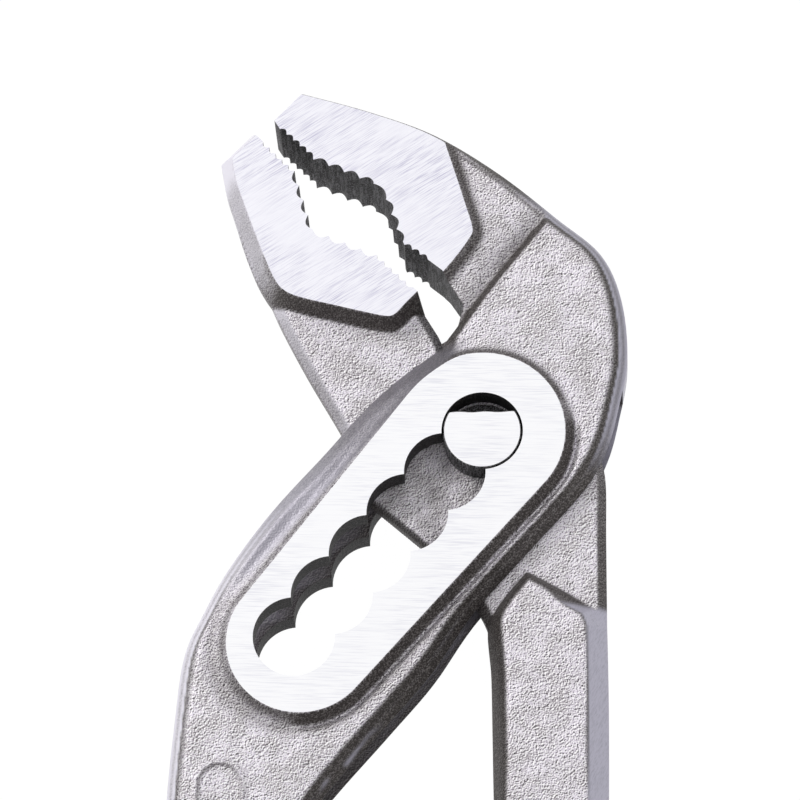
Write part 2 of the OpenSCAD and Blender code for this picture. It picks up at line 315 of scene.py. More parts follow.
# spacings of the surface points: coarse below the change, fine above it
grid = {"fine": 0.24, "coarse": 1.0, "change": -62}
outerForging = {
    "land": 2.45, "steep": 1.35,          # half the parting land, and the slope up from it
    "crease": 1.05, "gentle": 1.25,       # where the slope changes, and the slope above
    "edgeRound": 0.7,
    "recess": 0.95,                       # depth of the neck behind the jaw
    "recessDip": 1.25, "dipReach": 2.9,   # more of it next to the step, and how far that reaches
    "jawSlope": 0.95,
    "padSlope": 1.0, "padFoot": 0.6,
    "valley": 0.35, "gutter": 0.65,       # depths of the hollows round the pad
    "panel": (-32.3, -45.0, -74.0, 2.9),  # middle, top, bottom and half width of the bare panel
    "panelRim": 0.3, "panelFloor": 0.12,
    "wave": 0.04, "seed": 5,
    "least": 0.6,
}
innerForging = {
    "land": 1.15, "steep": 2.5, "crease": 1.05, "gentle": 1.35, "edgeRound": 0.6,
    "tongueLand": 0.75, "tongueDraft": 1.25,  # half the tongue's edge, and the width that it slopes over
    "shear": 0.72,                        # share of that width which the sheared end does without
    "jawSlope": 2.5, "jawFlank": 0.8,
    "rightSlope": 1.36,
    "wave": 0.04, "seed": 11, "tongueWave": 0.02, "tongueSeed": 3,
    "least": 0.55,
}
creaseDepth, creaseWidth = 0.14, 0.16
proud = 0.02       # what the jaws stand over their ground level before they are ground
faceRise = 0.3     # how far in from its outline a ground face goes on rising before it is ground


def flank(distance, s, width=1.0):
    # two straight slopes up from the parting land, with a fine crease between them
    d = distance / width
    lower = s["land"] + s["steep"] * np.clip(d, -0.5, s["crease"])
    upper = s["gentle"] * np.clip(d - s["crease"], 0, None)
    return lower + upper - creaseDepth * hump(d - s["crease"], creaseWidth)


def handleHalf(y):
    # the body's half thickness, which eases to the handles' own below the box
    return joint["body"] / 2 + (handles["thickness"] - joint["body"]) / 2 * ease(-y, 40, 62)


def outerHalf(x, y):
    # the least of the flank up from the outline and of the top, where the neck, the jaw and the pad meet
    s = outerForging
    body = handleHalf(y)
    outline = outerField(x, y)
    pad = inside(x, y, padOutline())
    recess = inside(x, y, neckRecess)
    jaw = inside(x, y, upperFace)
    depth = s["recess"] + s["recessDip"] * np.exp(-nearLine(x, y, neckStep) / s["dipReach"])
    top = body - depth * ease(recess, -0.25, 1.5)
    top = greater(top, body + proud + s["jawSlope"] * np.clip(jaw, -6, faceRise), 0.45)
    # a gutter along the pad's lower right side leaves a narrow ridge; a wide valley lies round its far end
    right = ease(x * math.sin(slotTurn) - y * math.cos(slotTurn), 6, 9.5)
    top = top - s["valley"] * ease(-y, 4, 20) * (1 - right) * hump(pad + 2.2, 0.9)
    top = top - s["gutter"] * right * hump(pad + 1.3, 0.5)
    rise = (s["padSlope"] + 0.6 * right) * np.clip(pad, -8, 0.6)
    top = greater(top, middle + rise, s["padFoot"] - 0.3 * right)
    top = top + s["wave"] * unevenness(x, y, s["seed"]) * ease(-pad, -0.2, 1.5) * ease(-jaw, -0.2, 1.5)
    # a bare panel with a raised rim on the handle: distance to its middle line less its half width
    panelX, panelTop, panelFoot, panelHalf = s["panel"]
    rim = np.hypot(x - panelX - 0.02 * (y + 45), y - np.clip(y, panelFoot, panelTop)) - panelHalf
    top = top + s["panelRim"] * hump(rim, 0.38) - s["panelFloor"] * ease(-rim, 0, 0.7)
    thin = 1 - 0.5 * ease(y, 28, 36) * ease(-x, -4, 4)    # a narrower flank at the jaw's tip
    return np.maximum(lesser(top, flank(outline, s, thin), s["edgeRound"] - 0.35 * right), s["least"])


def innerHalf(x, y):
    # the greatest of the tongue's web, the jaw and the handle, each the least of its top and its flank
    s = innerForging
    tongue = inside(x, y, tongueOutline)
    jaw = inside(x, y, jawOutline)
    grip = inside(x, y, gripHandleOutline)
    ground = inside(x, y, lowerFace)
    thin = joint["tongue"] / 2
    sheared = ease(-x, 1, 4) * ease(-y, 3, 6)    # its end in the slot
    draft = s["tongueDraft"] * (1 - s["shear"] * sheared)
    web = np.minimum(thin, s["tongueLand"] + (thin - s["tongueLand"]) / draft * tongue)
    web = lesser(thin + s["tongueWave"] * unevenness(x, y, s["tongueSeed"]), web, 0.25)
    jawTop = joint["body"] / 2 + proud + s["jawSlope"] * np.clip(ground, -4, faceRise)
    jawTop = lesser(jawTop, flank(jaw, s, s["jawFlank"]), s["edgeRound"])
    top = handleHalf(y) + s["wave"] * unevenness(x, y, s["seed"])
    right = ease(x, 6, 9) * ease(-y, 19, 23)    # the right side has one straight slope
    side = flank(grip, s) * (1 - right) + (s["land"] + s["rightSlope"] * grip) * right
    gripTop = lesser(top, side, s["edgeRound"] - 0.4 * right)
    both = np.maximum(jawTop, gripTop)
    return np.maximum(greater(web, both, 0.4), s["least"])


# Meshes

def meshFrom(name, points, faces):
    # a new object at the origin; it is in millimetres until finished() brings it to metres
    mesh = bpy.data.meshes.new(name)
    mesh.from_pydata(points.tolist(), [], [list(f) for f in faces])
    mesh.update()
    obj = bpy.data.objects.new(name, mesh)
    bpy.context.scene.collection.objects.link(obj)
    return obj


def plateFrom(name, xs, ys, half, field, margin=0.9):
    # front and back height fields over the grid cells that the outline reaches, with a wall round their rim
    x, y = np.meshgrid(xs, ys, indexing="ij")
    near = field(x, y) > -margin
    cell = near[:-1, :-1] & near[1:, :-1] & near[:-1, 1:] & near[1:, 1:]
    h = half(x, y)
    index = np.arange(x.size).reshape(x.shape)
    a, b = index[:-1, :-1][cell], index[1:, :-1][cell]
    c, d = index[1:, 1:][cell], index[:-1, 1:][cell]
    shift = x.size
    front = np.column_stack([a, b, c, d])
    back = np.column_stack([a, d, c, b]) + shift
    wide = np.pad(cell, 1)
    inner = wide[1:-1, 1:-1]
    neighbours = (wide[1:-1, :-2], wide[2:, 1:-1], wide[1:-1, 2:], wide[:-2, 1:-1])
    walls = []
    for neighbour, p, q in zip(neighbours, (a, b, c, d), (b, c, d, a)):
        rim = ~neighbour[inner]
        walls.append(np.column_stack([q[rim], p[rim], p[rim] + shift, q[rim] + shift]))
    quads = np.vstack([front, back, *walls])
    used, flat = np.unique(quads, return_inverse=True)
    points = np.vstack([np.column_stack([x.ravel(), y.ravel(), (middle + h).ravel()]),
                        np.column_stack([x.ravel(), y.ravel(), (middle - h).ravel()])])[used]
    return meshFrom(name, points, flat.reshape(quads.shape))


def ringFaces(k, n):
    # the faces between a ring of n points and the ring after it
    return np.column_stack([k, (k + 1) % n, (k + 1) % n + n, k + n])


def prism(name, outline, bottom, top):
    # the outline carried from one level to the other, turned anticlockwise first
    outline = np.asarray(outline, float)
    x, y = outline.T
    if np.sum(x * np.roll(y, -1) - np.roll(x, -1) * y) < 0:
        outline = outline[::-1]
    n = len(outline)
    points = np.vstack([np.column_stack([outline, np.full(n, level)]) for level in (bottom, top)])
    k = np.arange(n)
    return meshFrom(name, points, [list(range(n))[::-1], list(range(n, 2 * n)), *ringFaces(k, n).tolist()])


def carve(base, tool, operation="DIFFERENCE"):
    # one boolean, applied to the mesh; the tool is used up
    change = base.modifiers.new("carve", "BOOLEAN")
    change.operation = operation
    change.solver = "MANIFOLD"
    change.object = tool
    bpy.context.view_layer.update()
    evaluated = base.evaluated_get(bpy.context.evaluated_depsgraph_get())
    mesh = bpy.data.meshes.new_from_object(evaluated)
    base.modifiers.clear()
    old = base.data
    base.data = mesh
    bpy.data.meshes.remove(old)
    bpy.data.objects.remove(tool)
    if not len(mesh.polygons):
        raise RuntimeError(base.name + " lost its mesh")


def gridRows(start, end):
    # fine steps down from the end to the change, coarse ones from there to the start
    fine, coarse = grid["fine"], grid["coarse"]
    upper = np.arange(end, grid["change"], -fine)
    lower = np.arange(upper[-1] - fine, start - coarse, -coarse)
    return np.concatenate([upper, lower])[::-1]


def grindFaces(obj, name, around, top):
    # both faces are ground level with the top, within the corners given
    carve(obj, prism(name + "Front", around, top, above))
    carve(obj, prism(name + "Back", around, -above, joint["thickness"] - top))


def finished(obj, angle=38):
    # from millimetres to metres, smooth but for edges sharper than the angle
    obj.data.transform(Matrix.Scale(toMetres, 4))
    obj.data.shade_smooth()
    obj.data.set_sharp_from_angle(angle=math.radians(angle))
    return obj


def outerField(x, y):
    # distance inside the outer forging's outline
    return inside(x, y, outerOutline)


def outerJawHandle():
    # two height fields cut to the outline and ground, then toothed, slotted and hollowed for the tongue
    xs = np.arange(-52, 20, grid["fine"])
    obj = plateFrom("outerJawHandle", xs, gridRows(-200, 49), outerHalf, outerField)
    carve(obj, prism("outline", outerOutline, below, above), "INTERSECT")
    grindFaces(obj, "pad", [(-60, -70), (40, -70), (40, 60), (-60, 60)], joint["thickness"])
    jawGrinding = [(-40, 30), (-9, 14), (-2.6, 20.4), (0.8, 27), (-1.2, 41), (-6, 52), (-40, 54)]
    grindFaces(obj, "jaw", jawGrinding, bodyTop)
    carve(obj, prism("teeth", upperCutter, below, above))
    carve(obj, prism("slot", slotOutline(), below, above))
    carve(obj, prism("channel", channelOutline, joint["cheek"], joint["thickness"] - joint["cheek"]))
    return finished(obj)


pin = {
    "chamfer": 0.14, "sides": 120,
    "flatWave": 0.05,      # unevenness of the flat
    "flatDepth": 0.3,      # how far the flat goes on into the channel
    "pressFit": 0.02,      # the bore's radius is less than the pin's by this
}


def innerField(x, y):
    # distance inside the nearest of the three outlines that the inner forging is made of
    return np.maximum.reduce([inside(x, y, o) for o in (tongueOutline, jawOutline, gripHandleOutline)])


def innerJawHandle():
    # two height fields cut to the three outlines joined and ground, then toothed and bored for the pin
    xs = np.arange(-35, 27, grid["fine"])
    obj = plateFrom("innerJawHandle", xs, gridRows(-200, 45), innerHalf, innerField)
    silhouette = prism("tongueShape", tongueOutline, below, above)
    carve(silhouette, prism("jawShape", jawOutline, below, above), "UNION")
    carve(silhouette, prism("handleShape", gripHandleOutline, below, above), "UNION")
    carve(obj, silhouette, "INTERSECT")
    grindFaces(obj, "jaw", [(-40, 12), (-8, 12), (-2, 22), (-18, 50), (-40, 50)], bodyTop)
    carve(obj, prism("teeth", lowerCutter, below, above))
    bore = arc((0, 0), joint["pinRadius"] - pin["pressFit"], 0, 360 - 3.75, 95)
    carve(obj, prism("bore", bore, below, above))
    return finished(obj)


def pivotPin():
    # the pin's outline at each level; where it is flatted, the outline stops at the flat
    r, full = joint["pinRadius"], joint["thickness"]
    flatZ = joint["cheek"] + pin["flatDepth"]
    t = np.linspace(0, 2 * math.pi, pin["sides"], endpoint=False)
    chamfer, narrow = pin["chamfer"], r - pin["chamfer"]
    levels = [(0, narrow, True), (chamfer, r, True), (flatZ, r, True), (flatZ, r, False),
              (full - flatZ, r, False), (full - flatZ, r, True), (full - chamfer, r, True),
              (full, narrow, True)]
    rings = []
    for z, radius, flatted in levels:
        x, y = radius * np.cos(t), radius * np.sin(t)
        if flatted:
            limit = joint["pinFlat"] - (r - radius) + pin["flatWave"] * np.sin(x * 1.9 + 0.8)
            y = np.minimum(y, limit)
        rings.append(np.column_stack([x, y, np.full(len(t), z)]))
    n, k, last = len(t), np.arange(len(t)), len(t) * (len(levels) - 1)
    sides = [ringFaces(k, n) + n * i for i in range(len(levels) - 1)]
    ends = [list(range(n))[::-1], list(range(last, last + n))]
    obj = meshFrom("pivotPin", np.vstack(rings), np.vstack(sides).tolist() + ends)
    weld(obj)
    return finished(obj, 30)


def weld(obj, distance=1e-4):
    # points that fall together become one, and the faces are turned outwards
    shape = bmesh.new()
    shape.from_mesh(obj.data)
    bmesh.ops.remove_doubles(shape, verts=shape.verts, dist=distance)
    bmesh.ops.dissolve_degenerate(shape, dist=distance, edges=shape.edges)
    bmesh.ops.recalc_face_normals(shape, faces=shape.faces)
    shape.to_mesh(obj.data)
    shape.free()


grip = {
    "start": 82.0,                  # its mouth, below the pin
    "wall": 2.2,
    "fit": 0.04, "tipFit": 0.05,    # room between the sleeve and the handle
    "around": 72, "along": 110,     # points round the sleeve and along each wall
    "square": 3.6,                  # power of the superellipse
    "blunt": 2.6, "full": 0.38,     # powers that round its thickness off at the end
    "lip": 1.1, "lipReach": 0.5,    # how far the lip draws in, and how far up that reaches
    "bead": 0.5, "beadPlace": 2.2, "beadReach": 1.6,
}


def dippedGrip(name, x0, side):
    # a superellipse carried along the handle, closing to a round end; the inner wall runs back to the mouth
    start, square = grip["start"], grip["square"]
    halfW, halfT = handles["width"] / 2, handles["thickness"] / 2
    outerTip = handles["length"] + grip["wall"]
    innerTip = handles["length"] + grip["tipFit"]
    s = np.linspace(0, 1, grip["along"])
    outerY = start + (outerTip - start) * np.sin(s * math.pi / 2)
    innerY = innerTip - (innerTip - start) * (1 - np.sin((1 - s) * math.pi / 2))
    angle = np.linspace(0, 2 * math.pi, grip["around"], endpoint=False)
    c, z = np.cos(angle), np.sin(angle)
    shape = (np.abs(c) ** square + np.abs(z) ** square) ** (-1 / square)
    c, z = c * shape, z * shape

    def ring(y, wide, thick, tip, rolled):
        # the section at y: it closes towards the tip, and the outer wall rolls in at the mouth and has a bead
        left = np.clip((tip - y) / wide, 0, 1)
        close = math.sqrt(max(1 - (1 - left) ** 2, 1e-6))
        thin = max(1 - (1 - left) ** grip["blunt"], 1e-6) ** grip["full"]
        roll = 0.0
        if rolled:
            fromMouth = y - start
            lip = grip["lip"] * math.exp(-fromMouth / grip["lipReach"])
            bead = grip["bead"] * math.exp(-((fromMouth - grip["beadPlace"]) / grip["beadReach"]) ** 2)
            roll = -lip + bead - grip["bead"]
        here, ahead = handleMiddle(x0, side, np.array([y])), handleMiddle(x0, side, np.array([y + 1]))
        across = inwardOf(here, ahead)[0]
        px = here[0, 0] + across[0] * (wide + roll) * close * c
        py = here[0, 1] + across[1] * (wide + roll) * close * c
        return np.column_stack([px, py, middle + (thick + min(roll, 0)) * thin * z])

    rows = [ring(y, halfW + grip["wall"], joint["thickness"] / 2, outerTip, True) for y in outerY]
    rows += [ring(y, halfW + grip["fit"], halfT + grip["fit"], innerTip, False) for y in innerY]
    n, k, count = grip["around"], np.arange(grip["around"]), len(rows)
    faces = np.vstack([ringFaces(k, n) + n * i for i in range(count)]) % (n * count)
    obj = meshFrom(name, np.vstack(rows), faces)
    weld(obj, 0.01)
    return finished(obj, 60)


# Masks kept as attributes of the finished meshes

def keepMask(obj, name, values):
    # one number for each point, which the materials read by its name
    mask = obj.data.attributes.new(name, "FLOAT", "POINT")
    mask.data.foreach_set("value", np.asarray(values, np.float32))


def placesOf(obj):
    # the points' x and y in millimetres, and their normals
    n = len(obj.data.vertices)
    co, no = np.zeros(n * 3), np.zeros(n * 3)
    obj.data.vertices.foreach_get("co", co)
    obj.data.vertices.foreach_get("normal", no)
    x, y, z = co.reshape(-1, 3).T * toMillimetres
    return x, y, no.reshape(-1, 3)


def markForging(obj, distance, trimmed, scale):
    # trim: smooth metal, such as the belt-ground band along the parting line
    # lit: painted light where such metal faces left
    # steep: painted shade with dark scale on leaning surfaces, full on those that face down and right, away
    # from the light, and painted shade in hollows, creases and steps
    # The function scale gives the painted shade and scale anywhere, that on leaning surfaces only, and what
    # fades the painted light
    x, y, normal = placesOf(obj)
    lean = np.hypot(normal[:, 0], normal[:, 1])
    # painted shade falls on the sides that face down and to the right, away from the light
    lee = ease(0.45 * normal[:, 0] - 0.89 * normal[:, 1], -0.35, 0.45)
    d = distance(x, y)
    left, leaning, shaded = scale(x, y, d)
    keepMask(obj, "trim", trimmed(x, y, d, normal, ease(lean, 0.35, 0.6)))
    keepMask(obj, "lit", ease(-normal[:, 0], 0.1, 0.6) * (1 - shaded))
    # painted shade and scale on leaning surfaces, full where they face away from the light or the function
    # scale says so
    flankShadeAndScale = ease(lean, 0.3, 0.8) * (0.4 + 0.6 * np.maximum(lee, leaning))
    keepMask(obj, "steep", np.maximum(flankShadeAndScale, left))


def facesOf(obj):
    # the faces' middles in millimetres, and their normals
    n = len(obj.data.polygons)
    centre, normal = np.zeros(n * 3), np.zeros(n * 3)
    obj.data.polygons.foreach_get("center", centre)
    obj.data.polygons.foreach_get("normal", normal)
    return centre.reshape(-1, 3) * toMillimetres, normal.reshape(-1, 3)


def dress(obj, materials, chosen):
    # chosen holds the place of each face's material in the list
    obj.data.materials.clear()
    for material in materials:
        obj.data.materials.append(material)
    obj.data.polygons.foreach_set("material_index", np.asarray(chosen, np.int32))
    obj.data.update()


# Materials

# where a Mix node keeps its two inputs and its output for colours and for vectors
mixSockets = {"RGBA": (6, 7, 2), "VECTOR": (4, 5, 1)}


def nodeGroup(name, inputs, outputs):
    # an empty group with these sockets, and its two end nodes
    group = bpy.data.node_groups.new(name, "ShaderNodeTree")
    for label, kind, value in inputs:
        socket = group.interface.new_socket(label, in_out="INPUT", socket_type=kind)
        socket.default_value = value
    for label, kind in outputs:
        group.interface.new_socket(label, in_out="OUTPUT", socket_type=kind)
    return group, group.nodes.new("NodeGroupInput"), group.nodes.new("NodeGroupOutput")


def feed(tree, socket, value):
    # a number or a colour is set on the socket, anything else is linked to it
    if isinstance(value, (int, float)):
        socket.default_value = value
    elif isinstance(value, tuple):
        socket.default_value = (*value, 1)
    else:
        tree.links.new(value, socket)


def mathNode(tree, operation, a, b):
    node = tree.nodes.new("ShaderNodeMath")
    node.operation = operation
    feed(tree, node.inputs[0], a)
    feed(tree, node.inputs[1], b)
    return node.outputs[0]


def remap(tree, value, fromLow, fromHigh, toLow=0.0, toHigh=1.0):
    node = tree.nodes.new("ShaderNodeMapRange")
    ends = {"Value": value, "From Min": fromLow, "From Max": fromHigh, "To Min": toLow, "To Max": toHigh}
    for label, end in ends.items():
        feed(tree, node.inputs[label], end)
    return node.outputs["Result"]


def noise(tree, vector, scale, detail, roughness):
    node = tree.nodes.new("ShaderNodeTexNoise")
    for label, value in {"Vector": vector, "Scale": scale, "Detail": detail, "Roughness": roughness}.items():
        feed(tree, node.inputs[label], value)
    return node.outputs["Fac"]


def mixed(tree, factor, a, b, kind="RGBA"):
    # from a to b as the factor goes from 0 to 1; VECTOR for normals
    first, second, result = mixSockets[kind]
    node = tree.nodes.new("ShaderNodeMix")
    node.data_type = kind
    feed(tree, node.inputs["Factor"], factor)
    feed(tree, node.inputs[first], a)
    feed(tree, node.inputs[second], b)
    return node.outputs[result]


def stretch(tree, factors, vector):
    # the vector times three factors; a noise read with it is drawn out along the small ones
    node = tree.nodes.new("ShaderNodeVectorMath")
    node.operation = "MULTIPLY"
    node.inputs[1].default_value = factors
    tree.links.new(vector, node.inputs[0])
    return node.outputs[0]


def objectPlace(tree):
    return tree.nodes.new("ShaderNodeTexCoord").outputs["Object"]


def bump(tree, height, depth, normal=None):
    # the height field times the depth, in metres
    node = tree.nodes.new("ShaderNodeBump")
    node.inputs["Distance"].default_value = 1.0
    tree.links.new(mathNode(tree, "MULTIPLY", height, depth), node.inputs["Height"])
    if normal is not None:
        tree.links.new(normal, node.inputs["Normal"])
    return node.outputs["Normal"]


def blastGroup():
    # noises of two grain sizes give the normal; the fine one less itself a little aside paints light on the
    # side of each grain up and to the left, towards the light, and shade on the other side
    group, source, sink = nodeGroup("shotBlast", [
        ("Grain", "NodeSocketFloat", 2600.0), ("Depth", "NodeSocketFloat", 0.00006)],
        [("LitSides", "NodeSocketFloat"), ("ShadeAndDimples", "NodeSocketFloat"), ("Patches", "NodeSocketFloat"),
         ("Normal", "NodeSocketVector")])
    place = objectPlace(group)
    fine = noise(group, place, source.outputs["Grain"], 2.0, 0.6)
    wide = noise(group, place, mathNode(group, "MULTIPLY", source.outputs["Grain"], 0.4), 2.0, 0.55)
    height = mathNode(group, "ADD", fine, mathNode(group, "MULTIPLY", wide, 0.45))
    aside = group.nodes.new("ShaderNodeVectorMath")
    aside.inputs[1].default_value = (-0.00008, 0.00009, 0)    # about half a grain
    group.links.new(place, aside.inputs[0])
    shifted = noise(group, aside.outputs[0], source.outputs["Grain"], 2.0, 0.6)
    slope = mathNode(group, "SUBTRACT", fine, shifted)
    group.links.new(remap(group, slope, 0.01, 0.10), sink.inputs["LitSides"])
    # painted shade in the grain's hollows as well as on its far sides
    speck = mathNode(group, "ADD", slope, remap(group, height, 0.60, 0.48, 0.0, -0.16))
    # dimples: the middles of some cells, taken from the slope so that they come out dark
    cells = group.nodes.new("ShaderNodeTexVoronoi")
    group.links.new(place, cells.inputs["Vector"])
    group.links.new(mathNode(group, "MULTIPLY", source.outputs["Grain"], 0.55), cells.inputs["Scale"])
    some = remap(group, noise(group, place, 1500.0, 2.0, 0.6), 0.50, 0.58)
    dimple = remap(group, cells.outputs["Distance"], 0.42, 0.18, 0.0, -0.14)
    speck = mathNode(group, "ADD", speck, mathNode(group, "MULTIPLY", dimple, some))
    group.links.new(remap(group, speck, -0.05, -0.18), sink.inputs["ShadeAndDimples"])
    group.links.new(remap(group, noise(group, place, 330.0, 4.0, 0.65), 0.40, 0.60), sink.inputs["Patches"])
    group.links.new(bump(group, height, source.outputs["Depth"]), sink.inputs["Normal"])
    return group


def brushGroup():
    # noise stretched along the way of the grinding, at two widths
    group, source, sink = nodeGroup("brushLines", [
        ("Angle", "NodeSocketFloat", 0.0), ("Width", "NodeSocketFloat", 5000.0),
        ("Depth", "NodeSocketFloat", 0.000004)],
        [("Lines", "NodeSocketFloat"), ("Drift", "NodeSocketFloat"), ("Normal", "NodeSocketVector")])
    place = objectPlace(group)
    turn = group.nodes.new("ShaderNodeVectorRotate")
    turn.rotation_type = "Z_AXIS"
    group.links.new(place, turn.inputs["Vector"])
    group.links.new(source.outputs["Angle"], turn.inputs["Angle"])
    along = stretch(group, (0.035, 1, 0.3), turn.outputs[0])
    fine = noise(group, along, source.outputs["Width"], 2.0, 0.6)
    wide = noise(group, along, mathNode(group, "MULTIPLY", source.outputs["Width"], 0.22), 3.0, 0.6)
    both = mathNode(group, "ADD", fine, mathNode(group, "MULTIPLY", wide, 0.35))
    group.links.new(remap(group, both, 0.5, 0.72), sink.inputs["Lines"])
    group.links.new(noise(group, place, 90.0, 2.0, 0.5), sink.inputs["Drift"])
    group.links.new(bump(group, both, source.outputs["Depth"]), sink.inputs["Normal"])
    return group


def newMaterial(name, roughness, metallic, colour=(0.5, 0.5, 0.5)):
    # a material and its shader; the colour shows only where nothing is linked
    material = bpy.data.materials.new(name)
    material.use_nodes = True
    shader = material.node_tree.nodes["Principled BSDF"]
    shader.inputs["Base Color"].default_value = (*colour, 1)
    shader.inputs["Roughness"].default_value = roughness
    shader.inputs["Metallic"].default_value = metallic
    return material, material.node_tree, shader


def placeGroup(tree, group, **values):
    # the group in this material, with its own values for the inputs named
    node = tree.nodes.new("ShaderNodeGroup")
    node.node_tree = group
    for label, value in values.items():
        node.inputs[label].default_value = value
    return node


def attribute(tree, name):
    node = tree.nodes.new("ShaderNodeAttribute")
    node.attribute_name = name
    return node.outputs["Fac"]


# Skin colours: painted shade on the grains' far sides and in dimples, the blasted base, painted highlight on
# the grains' near sides, patches, the dark body of painted shade and scale with its own painted highlight,
# trimmed metal, its lines, and painted light on trimmed metal that faces left
forged = {
    "grainShadeAndDimples": (0.06, 0.052, 0.056), "ground": (0.80, 0.745, 0.84), "litGrain": (1.0, 0.99, 1.0),
    "patch": (0.50, 0.46, 0.50),
    "dark": (0.042, 0.035, 0.033), "darkLitGrain": (0.17, 0.155, 0.15),
    "trim": (0.52, 0.505, 0.60), "trimLines": (0.42, 0.41, 0.49), "trimLit": (0.93, 0.905, 1.0),
    "trimAngle": 65, "trimWidth": 9000.0,
    "grain": 4300.0, "depth": 0.00013,
}


def forgedSteel(blast, brush):
    # shot-blasted grain with painted light and shade on each grain, painted shade and dark scale where it
    # leans or lies deep, and smooth metal where it is trimmed, with painted light where that faces left
    material, tree, shader = newMaterial("shotBlastedSteel", 0.5, 0.5)
    grain = placeGroup(tree, blast, Grain=forged["grain"], Depth=forged["depth"])
    lines = placeGroup(tree, brush, Angle=-math.radians(forged["trimAngle"]), Width=forged["trimWidth"])
    patched = mixed(tree, grain.outputs["Patches"], forged["patch"], forged["ground"])
    # painted highlight on each grain's side towards the light, and painted shade on its far side and in
    # dimples
    light = mixed(tree, grain.outputs["LitSides"], patched, forged["litGrain"])
    light = mixed(tree, grain.outputs["ShadeAndDimples"], light, forged["grainShadeAndDimples"])
    # the dark body, with painted highlight on its grains
    dark = mixed(tree, grain.outputs["LitSides"], forged["dark"], forged["darkLitGrain"])
    # painted shade and scale where the steep mask is high
    body = mixed(tree, attribute(tree, "steep"), light, dark)
    trim = attribute(tree, "trim")
    trimmed = mixed(tree, lines.outputs["Lines"], forged["trimLines"], forged["trim"])
    # painted light on trimmed metal that faces left
    trimmed = mixed(tree, attribute(tree, "lit"), trimmed, forged["trimLit"])
    tree.links.new(mixed(tree, trim, body, trimmed), shader.inputs["Base Color"])
    tree.links.new(remap(tree, trim, 0, 1, 0.52, 0.36), shader.inputs["Roughness"])
    grainShare = mathNode(tree, "SUBTRACT", 1.0, mathNode(tree, "MULTIPLY", trim, 0.9))
    plain = tree.nodes.new("ShaderNodeNewGeometry").outputs["Normal"]
    normal = mixed(tree, grainShare, plain, grain.outputs["Normal"], "VECTOR")
    tree.links.new(normal, shader.inputs["Normal"])
    return material


# Ground faces: the angle that their lines run at, the colour and the lines' shade, and how fine the lines are
jawFace = {"angle": 33, "colour": (0.91, 0.905, 0.965), "shade": (0.50, 0.485, 0.64), "width": 8600.0}
padFace = {"angle": -2, "colour": (0.96, 0.96, 0.98), "shade": (0.79, 0.79, 0.85), "width": 7000.0}


def groundSteel(name, brush, ground):
    # fine lines one way, which fade out over wide patches
    material, tree, shader = newMaterial(name, 0.34, 0.8)
    turned = -math.radians(ground["angle"])
    lines = placeGroup(tree, brush, Angle=turned, Width=ground["width"], Depth=0.000005)
    base = mixed(tree, lines.outputs["Lines"], ground["shade"], ground["colour"])
    drift = remap(tree, lines.outputs["Drift"], 0.40, 0.62, 0.1, 0.8)
    tree.links.new(mixed(tree, drift, base, ground["colour"]), shader.inputs["Base Color"])
    tree.links.new(lines.outputs["Normal"], shader.inputs["Normal"])
    return material


# Cut walls: the colours between the furrows, of the furrows, of painted shade and dimples on the grain, of
# bright specks of painted highlight, and of painted light on the teeth's crests
toothWall = {"deep": (0.012, 0.011, 0.011), "grainShadeAndDimples": (0.012, 0.012, 0.012), "furrowed": (0.26, 0.255, 0.27),
             "litFlecks": (0.36, 0.35, 0.37), "crest": (0.18, 0.175, 0.185)}
# The slot's walls: the same with darker furrows and specks, painted shade deep inside the slot
slotWall = {**toothWall, "furrowed": (0.032, 0.029, 0.029), "litFlecks": (0.13, 0.125, 0.13)}


def toothSteel(blast, name, wall):
    # dark, with fine furrows that run through the thickness, bright specks of painted highlight on the grain,
    # painted shade in its dimples and painted light on the teeth's crests
    material, tree, shader = newMaterial(name, 0.6, 0.3)
    shader.inputs["Specular IOR Level"].default_value = 0.25
    grain = placeGroup(tree, blast, Grain=5200.0, Depth=0.00005)
    furrow = noise(tree, stretch(tree, (1, 1, 0.1), objectPlace(tree)), 3300.0, 3.0, 0.7)
    streak = mixed(tree, remap(tree, furrow, 0.46, 0.60), wall["deep"], wall["furrowed"])
    # painted light on the upper teeth's crests
    streak = mixed(tree, mathNode(tree, "MULTIPLY", attribute(tree, "crest"), 0.4), streak, wall["crest"])
    # painted highlight on the grains' sides towards the light
    fleck = remap(tree, grain.outputs["LitSides"], 0.5, 1.0, 0.0, 0.6)
    streak = mixed(tree, fleck, streak, wall["litFlecks"])
    tree.links.new(mixed(tree, grain.outputs["ShadeAndDimples"], streak, wall["grainShadeAndDimples"]), shader.inputs["Base Color"])
    tree.links.new(bump(tree, furrow, 0.00008, grain.outputs["Normal"]), shader.inputs["Normal"])
    return material


sleeve = {"colour": (0.02, 0.035, 0.09), "low": (0.018, 0.03, 0.08), "high": (0.026, 0.042, 0.105),
          "peel": 420.0}


def gripPlastic():
    # a soft dipped skin with a slight peel
    material, tree, shader = newMaterial("dippedPlastic", 0.42, 0.0, sleeve["colour"])
    peel = noise(tree, objectPlace(tree), sleeve["peel"], 2.0, 0.5)
    tinted = mixed(tree, remap(tree, peel, 0.3, 0.7), sleeve["low"], sleeve["high"])
    tree.links.new(tinted, shader.inputs["Base Color"])
    tree.links.new(bump(tree, peel, 0.0002), shader.inputs["Normal"])
    return material


blast, brush = blastGroup(), brushGroup()
skin = forgedSteel(blast, brush)
jawGround = groundSteel("groundJawFace", brush, jawFace)
padGround = groundSteel("groundPad", brush, padFace)
teethDark = toothSteel(blast, "toothSteel", toothWall)
slotDark = toothSteel(blast, "slotSteel", slotWall)
plastic = gripPlastic()
print("materials ready")

